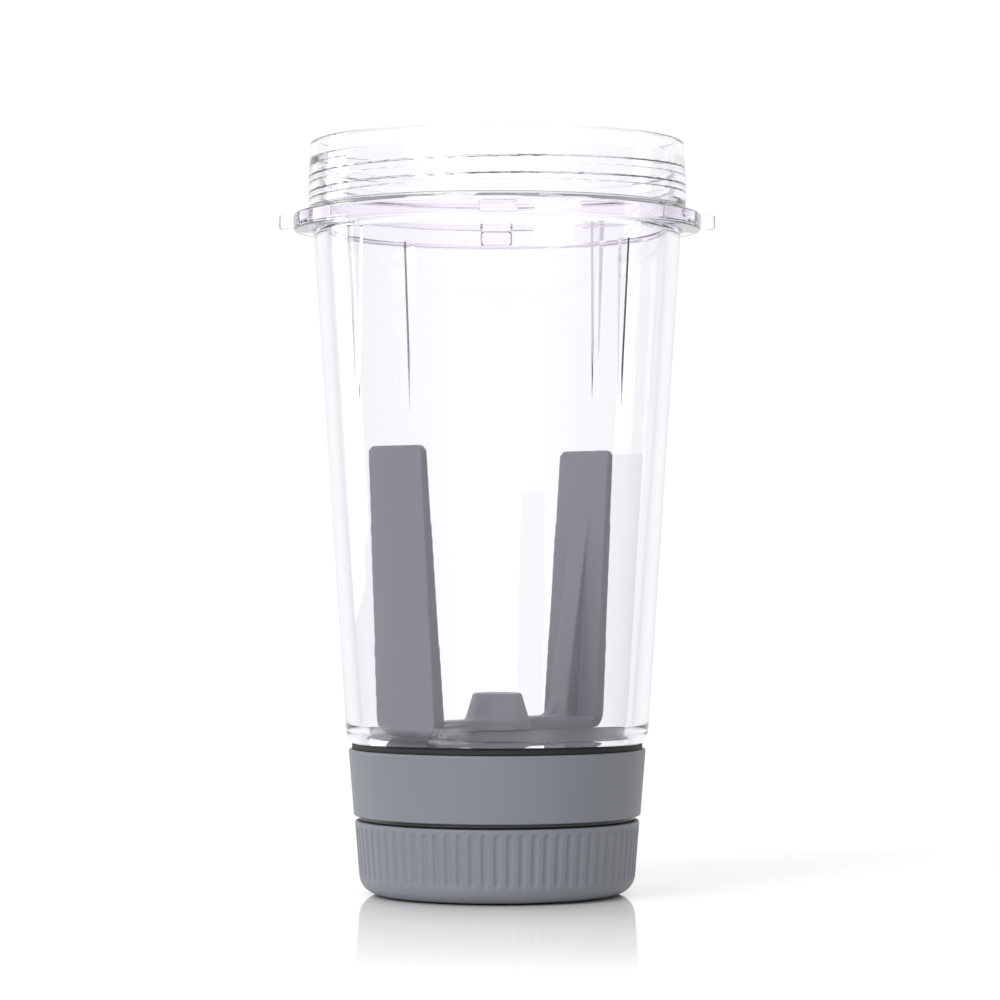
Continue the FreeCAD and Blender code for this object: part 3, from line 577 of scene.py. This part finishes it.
def flute_shift(angles, r, z):
    """The flutes sunk into the knob's side, each as a ball-ended cutter leaves it."""
    step = ROUND / FLUTE_COUNT
    aside = np.abs((angles + step / 2) % step - step / 2) * r
    reach_up = np.clip(z - (FLUTE_TOP - FLUTE_HALF_WIDTH), 0, None)
    reach_down = np.clip((FLUTE_BOTTOM + FLUTE_HALF_WIDTH) - z, 0, None)
    away = np.sqrt(aside ** 2 + (reach_up + reach_down) ** 2) / FLUTE_HALF_WIDTH
    sunk = np.clip(1 - away ** 2, 0, 1)
    sunk = sunk * (FLUTE_FULLNESS - (FLUTE_FULLNESS - 1) * sunk)
    return np.where(r > FLUTED_FROM_RADIUS, -FLUTE_DEPTH * sunk, 0.0)


def knob():
    """The hollow base in one turn, with rows of points up its fluted side."""
    body = rounded([
        (CAP_RADIUS, KNOB_BOTTOM, 0.3),
        (FOOT_BORE - FOOT_SLIP, KNOB_BOTTOM, 0.2),
        (FOOT_BORE - FOOT_SLIP, FOOT_HEIGHT, 0.1),
        (FOOT_RADIUS + FOOT_SLIP, FOOT_HEIGHT, 0.1),
        (FOOT_RADIUS + FOOT_SLIP, KNOB_BOTTOM, 0.2),
        (KNOB_FOOT_RADIUS, KNOB_BOTTOM, KNOB_CORNER),
        (KNOB_TOP_RADIUS, KNOB_TOP, 0.5),
        (KNOB_MOUTH, KNOB_TOP, 0.3),
        (KNOB_MOUTH, DECK_SEAT, 0.1),
        (KNOB_BORE, DECK_SEAT, 0.1),
        (KNOB_BORE, KNOB_FLOOR, 2.2),
        (16.0, 4.6, 1.0),
        (13.0, POST_FLARE, 1.0),
        (POST_RADIUS, POST_FLARE, 0.5),
        (POST_RADIUS, POST_TOP, 0.4),
        (SHAFT_BORE, POST_TOP, 0.2),
        (SHAFT_BORE, SHAFT_SEAT, 0.1),
        (SCREW_BORE, SHAFT_SEAT, 0.1),
        (SCREW_BORE, SCREW_SEAT, 0.1),
        (SCREW_WELL, SCREW_SEAT, 0.1),
        (SCREW_WELL, CAP_SEAT, 0.1),
        (CAP_RADIUS, CAP_SEAT, 0.1),
    ], KNOB_STEPS)
    split = KNOB_CORNERS_BELOW_SIDE * (KNOB_STEPS + 1)
    low, high = np.array(body[split - 1]), np.array(body[split])
    rows = [tuple(low + (high - low) * k / KNOB_SIDE_ROWS) for k in range(1, KNOB_SIDE_ROWS)]
    outline = body[:split] + rows + body[split:]
    segments = FLUTE_COUNT * FLUTE_SEGMENTS
    return lathed("knob_fluted", outline, segments=segments, shift=flute_shift, sharp=40.0)


def small_rings():
    """The dark rings that show in the joints between the parts, and the rubber foot."""
    gasket = lathed("collar_gasket_lip", rounded([
        (SPIGOT_RADIUS - SLIP, GASKET_BOTTOM, 0.2),
        (GASKET_SKIRT, GASKET_BOTTOM, 0.2),
        (GASKET_SKIRT, COLLAR_TOP + SLIP, 0.1),
        (GASKET_RADIUS, COLLAR_TOP + SLIP, 0.2),
        (GASKET_RADIUS, GASKET_LIP, 0.2),
        (GASKET_LIP_BORE, GASKET_LIP, 0.1),
        (GASKET_UPSTAND_RADIUS, GASKET_UPSTAND, 0.2),
        (SPIGOT_RADIUS - SLIP, GASKET_UPSTAND, 0.2),
    ]), segments=256)
    place_piece(gasket, "cup", "black_rubber", "collar_gasket")
    glide = lathed("glide_ring_lip", rounded([
        (GLIDE_BORE, GLIDE_BOTTOM, 0.2),
        (GLIDE_RADIUS, GLIDE_BOTTOM, 0.3),
        (GLIDE_RADIUS, COLLAR_BOTTOM, 0.2),
        (COLLAR_LOWER_BORE, COLLAR_BOTTOM, 0.1),
        (COLLAR_LOWER_BORE, GLIDE_TOP, 0.2),
        (GLIDE_BORE, GLIDE_TOP, 0.2),
    ]), segments=256)
    place_piece(glide, "cup", "black_plastic", "glide_ring")
    seal = lathed("shaft_seal_lip", rounded([
        (SEAL_BORE, SEAL_SEAT, 0.1),
        (SEAL_RADIUS, SEAL_SEAT, 0.1),
        (SEAL_RADIUS, 36.4, 0.2),
        (6.6, 36.4, 0.3),
        (5.4, 35.7, 0.4),
        (4.6, SEAL_TOP, 0.2),
        (SEAL_BORE, SEAL_TOP, 0.15),
    ]), segments=128)
    place_piece(seal, "cup", "black_rubber", "shaft_seal")
    foot = lathed("foot_ring", rounded([
        (FOOT_BORE, 0.0, 0.3),
        (FOOT_RADIUS, 0.0, 0.3),
        (FOOT_RADIUS, FOOT_HEIGHT, 0.2),
        (FOOT_BORE, FOOT_HEIGHT, 0.2),
    ]), segments=192)
    place_piece(foot, "knob", "black_rubber", "foot_pad")


# ---------------------------------------------------------------- the paddle
def vane_face(z, foot, top):
    """A size of the vane at a height, from its value at the foot to its value at the top."""
    return foot + (top - foot) * (z - PADDLE_BOTTOM) / (PADDLE_TOP - PADDLE_BOTTOM)


def vane_mesh(side):
    """One scraper vane: a leaning, tapering plate, its foot rounded in both directions."""
    tall = PADDLE_TOP - PADDLE_BOTTOM
    steps = np.concatenate([np.linspace(0, 1, 15) ** 2 * VANE_FOOT_CORNER,
                            np.linspace(VANE_FOOT_CORNER + 2, tall - VANE_TOP_CORNER - 1, 20),
                            tall - VANE_TOP_CORNER * np.linspace(1, 0, 10) ** 2])
    points = []
    for rise in steps:
        z = PADDLE_BOTTOM + rise
        half = vane_face(z, VANE_FOOT_HALF_WIDTH, VANE_TOP_HALF_WIDTH)
        below = max(0.0, VANE_FOOT_CORNER - rise)
        above = max(0.0, rise - (tall - VANE_TOP_CORNER))
        half -= VANE_FOOT_CORNER - math.sqrt(VANE_FOOT_CORNER ** 2 - below ** 2)
        half -= VANE_TOP_CORNER - math.sqrt(max(0.0, VANE_TOP_CORNER ** 2 - above ** 2))
        outer = vane_face(z, VANE_FOOT_FACE, VANE_TOP_FACE)
        inner = outer - vane_face(z, VANE_FOOT_THICKNESS, VANE_TOP_THICKNESS)
        under = max(0.0, VANE_FOOT_ROUND - rise)
        outer -= VANE_FOOT_ROUND - math.sqrt(VANE_FOOT_ROUND ** 2 - under ** 2)
        points += [(side * x * MM, y * MM, z * MM)
                   for x, y in ((inner, -half), (outer, -half), (outer, half), (inner, half))]
    faces = [(0, 1, 2, 3), tuple(range(len(points) - 1, len(points) - 5, -1))]
    for row in range(0, len(points) - 4, 4):
        faces += [(row + k, row + (k + 1) % 4, row + (k + 1) % 4 + 4, row + k + 4) for k in range(4)]
    mesh = bpy.data.meshes.new("vane")
    mesh.from_pydata(points, [], faces)
    return mesh


def paddle():
    """Vanes, rail, gussets and hub under one skin, softened where they meet as a moulding is."""
    shoulder = VANE_TOP_FACE - VANE_TOP_THICKNESS - VANE_EMBED
    meshes = [vane_mesh(1), vane_mesh(-1)]
    side_view = rounded([
        (-RAIL_END, PADDLE_BOTTOM, RAIL_CORNER),
        (RAIL_END, PADDLE_BOTTOM, RAIL_CORNER),
        (RAIL_END, RAIL_TOP),
        (-RAIL_END, RAIL_TOP),
    ])
    meshes.append(prism_mesh("rail", side_view, upright, -RAIL_HALF_WIDTH, RAIL_HALF_WIDTH))
    for side in (1, -1):
        gusset = [(side * x, z) for x, z in rounded([
            (GUSSET_FOOT, RAIL_TOP - 1),
            (RAIL_END, RAIL_TOP - 1),
            (RAIL_END, GUSSET_TOP - GUSSET_LEAN),
            (shoulder, GUSSET_TOP),
            (shoulder - VANE_EMBED, GUSSET_TOP),
        ])]
        meshes.append(prism_mesh("gusset", gusset, upright, -RAIL_HALF_WIDTH, RAIL_HALF_WIDTH))
        blend = [(side * x, z) for x, z in rounded([
            (GUSSET_FOOT - BLEND_REACH, RAIL_TOP - BLEND_INSIDE),
            (GUSSET_FOOT - BLEND_REACH, RAIL_TOP),
            (GUSSET_FOOT, RAIL_TOP, BLEND_RADIUS),
            (GUSSET_FOOT + BLEND_INSIDE, RAIL_TOP + BLEND_RADIUS),
            (GUSSET_FOOT + BLEND_BACK, RAIL_TOP + BLEND_RADIUS),
            (GUSSET_FOOT + BLEND_BACK, RAIL_TOP - BLEND_INSIDE),
        ], 10)]
        meshes.append(prism_mesh("blend", blend, upright, BLEND_INSIDE, RAIL_HALF_WIDTH))
        flare = [
            (side * FLARE_START, -RAIL_HALF_WIDTH + FLARE_OVERLAP),
            (side * FLARE_START, -RAIL_HALF_WIDTH),
            (side * FLARE_END, -FLARE_REACH),
            (side * FLARE_END, -RAIL_HALF_WIDTH + FLARE_OVERLAP),
        ]
        meshes.append(prism_mesh("flare", flare, level, PADDLE_BOTTOM, PADDLE_BOTTOM + FLARE_HEIGHT))
    meshes.append(lathed_mesh("hub", rounded([
        (0.0, PADDLE_BOTTOM),
        (HUB_FOOT_RADIUS, PADDLE_BOTTOM),
        (HUB_FOOT_RADIUS, RAIL_TOP - 0.4, 0.3),
        (HUB_MID_RADIUS, RAIL_TOP + 0.9, 1.5),
        (HUB_TOP_RADIUS, HUB_TOP, 0.5),
        (0.0, HUB_TOP),
    ]), segments=96))
    work = bmesh.new()
    for mesh in meshes:
        work.from_mesh(cleaned(mesh))
    mesh = bpy.data.meshes.new("paddle_raw")
    work.to_mesh(mesh)
    work.free()
    raw = bpy.data.objects.new("paddle_raw", mesh)
    bpy.context.scene.collection.objects.link(raw)
    remesh = raw.modifiers.new("one_skin", "REMESH")
    remesh.mode = "VOXEL"
    remesh.voxel_size = SKIN_VOXEL * MM
    soften = raw.modifiers.new("soften", "SMOOTH")
    soften.factor = 0.5
    soften.iterations = SKIN_SMOOTHING
    mesh = applied(raw, "paddle_moulded")
    piece = finished("paddle_moulded", mesh, sharp=180.0)
    return turned_about_z(piece, PADDLE_AZIMUTH - 90)


# ---------------------------------------------------------------- putting the object together
place_piece(cup(), "cup", "clear_plastic", "cup_body")
place_piece(floor_plate(), "cup", "grey_plastic", "floor_plate")
place_piece(collar(), "cup", "grey_plastic", "collar")
place_piece(knob(), "knob", "grey_plastic", "knob")
place_piece(paddle(), "paddle", "grey_plastic", "paddle", PADDLE_PLASTIC)
small_rings()
node_slots = {part["node"]: part["material_slot"] for part in frame["record"]["subparts"]}
for node, thing in frame["nodes"].items():
    thing.data.materials.clear()
    thing.data.materials.append(SLOT_MATERIALS[node_slots[node]])


# ---------------------------------------------------------------- studio
CAMERA_DISTANCE = 0.888
CAMERA_HEIGHT = 0.0831
CAMERA_OFFSET = 0.00067
CAMERA_LENS = 133.2
CAMERA_TILT = 0.0127
CAMERA_SENSOR = 36.0
TABLE_HALF = 0.3
TABLE_DROP = 0.02 * MM
TABLE_FADE = (0.10, 0.26)
POLISH_REACH = 0.4
POLISH_MIDDLE = 0.85
POLISH = ((0.041, 0.56), (0.058, 0.52), (0.081, 0.44), (0.106, 0.38), (0.140, 0.30), (0.171, 0.2))
AIM = Vector((0, 0, 0.09))


def studio_floor():
    """A white table, polished near the object, matte away from it, and gone where it meets the backdrop."""
    mesh = bpy.data.meshes.new("floor")
    corners = [(x * TABLE_HALF, y * TABLE_HALF, 0) for x, y in ((-1, -1), (1, -1), (1, 1), (-1, 1))]
    mesh.from_pydata(corners, [], [(0, 1, 2, 3)])
    floor = bpy.data.objects.new("floor", mesh)
    floor.location.z = -TABLE_DROP
    bpy.context.scene.collection.objects.link(floor)
    material, nodes, links, shader = new_material("white_table")
    nodes.remove(shader)
    matte = nodes.new("ShaderNodeBsdfDiffuse")
    matte.inputs["Color"].default_value = (0.90, 0.90, 0.90, 1.0)
    polish = nodes.new("ShaderNodeBsdfAnisotropic")
    polish.inputs["Color"].default_value = (1.0, 1.0, 1.0, 1.0)
    polish.inputs["Roughness"].default_value = 0.05
    place = nodes.new("ShaderNodeTexCoord")
    distance = nodes.new("ShaderNodeVectorMath")
    distance.operation = "LENGTH"
    links.new(place.outputs["Object"], distance.inputs[0])
    amount = nodes.new("ShaderNodeMapRange")
    amount.inputs["From Max"].default_value = POLISH_REACH
    links.new(distance.outputs["Value"], amount.inputs["Value"])
    fade = nodes.new("ShaderNodeFloatCurve")
    curve = fade.mapping.curves[0]
    curve.points[0].location = (0.0, POLISH_MIDDLE)
    curve.points[1].location = (1.0, 0.0)
    for reach, strength in POLISH:
        curve.points.new(reach / POLISH_REACH, strength)
    fade.mapping.update()
    links.new(amount.outputs["Result"], fade.inputs["Value"])
    mix = nodes.new("ShaderNodeMixShader")
    links.new(fade.outputs["Value"], mix.inputs["Fac"])
    links.new(matte.outputs["BSDF"], mix.inputs[1])
    links.new(polish.outputs["BSDF"], mix.inputs[2])
    edge = nodes.new("ShaderNodeMapRange")
    edge.interpolation_type = "SMOOTHSTEP"
    edge.inputs["From Min"].default_value = TABLE_FADE[0]
    edge.inputs["From Max"].default_value = TABLE_FADE[1]
    links.new(distance.outputs["Value"], edge.inputs["Value"])
    clear = nodes.new("ShaderNodeBsdfTransparent")
    vanish = nodes.new("ShaderNodeMixShader")
    links.new(edge.outputs["Result"], vanish.inputs["Fac"])
    links.new(mix.outputs["Shader"], vanish.inputs[1])
    links.new(clear.outputs["BSDF"], vanish.inputs[2])
    links.new(vanish.outputs["Shader"], nodes["Material Output"].inputs["Surface"])
    mesh.materials.append(material)


def softbox(name, azimuth, elevation, distance, width, height, power):
    """A rectangular lamp facing the middle of the object; azimuth is measured from the front to the right."""
    lamp = bpy.data.lights.new(name, "AREA")
    lamp.shape = "RECTANGLE"
    lamp.size = width
    lamp.size_y = height
    lamp.energy = power
    holder = bpy.data.objects.new(name, lamp)
    a, e = math.radians(azimuth), math.radians(elevation)
    offset = Vector((math.sin(a) * math.cos(e), -math.cos(a) * math.cos(e), math.sin(e))) * distance
    holder.location = AIM + offset
    holder.rotation_euler = (-offset).to_track_quat("-Z", "Y").to_euler()
    bpy.context.scene.collection.objects.link(holder)


def backdrop():
    """White all round, with grey flags at the two sides that draw the clear cup's edges."""
    world = bpy.data.worlds.new("studio")
    world.use_nodes = True
    nodes, links = world.node_tree.nodes, world.node_tree.links
    place = nodes.new("ShaderNodeTexCoord")
    split = nodes.new("ShaderNodeSeparateXYZ")
    links.new(place.outputs["Generated"], split.inputs["Vector"])
    aside = nodes.new("ShaderNodeMath")
    aside.operation = "ABSOLUTE"
    links.new(split.outputs["X"], aside.inputs[0])
    flag = nodes.new("ShaderNodeMapRange")
    flag.interpolation_type = "SMOOTHSTEP"
    flag.inputs["From Min"].default_value = 0.45
    flag.inputs["From Max"].default_value = 0.95
    flag.inputs["To Min"].default_value = 1.06
    flag.inputs["To Max"].default_value = 0.64
    links.new(aside.outputs["Value"], flag.inputs["Value"])
    nodes["Background"].inputs["Color"].default_value = (1.0, 1.0, 1.0, 1.0)
    links.new(flag.outputs["Result"], nodes["Background"].inputs["Strength"])
    bpy.context.scene.world = world


def studio():
    studio_floor()
    backdrop()
    softbox("key", azimuth=-42, elevation=32, distance=1.5, width=0.8, height=0.8, power=13)
    softbox("left_rim", azimuth=-115, elevation=15, distance=1.2, width=0.4, height=0.9, power=3)
    camera_data = bpy.data.cameras.new("camera")
    camera_data.lens = CAMERA_LENS
    camera_data.sensor_width = CAMERA_SENSOR
    camera = bpy.data.objects.new("camera", camera_data)
    camera.location = (CAMERA_OFFSET, -CAMERA_DISTANCE, CAMERA_HEIGHT)
    camera.rotation_euler = (math.pi / 2 + CAMERA_TILT, 0, 0)
    bpy.context.scene.collection.objects.link(camera)
    bpy.context.scene.camera = camera
    bpy.context.scene.view_settings.view_transform = "Standard"


studio()
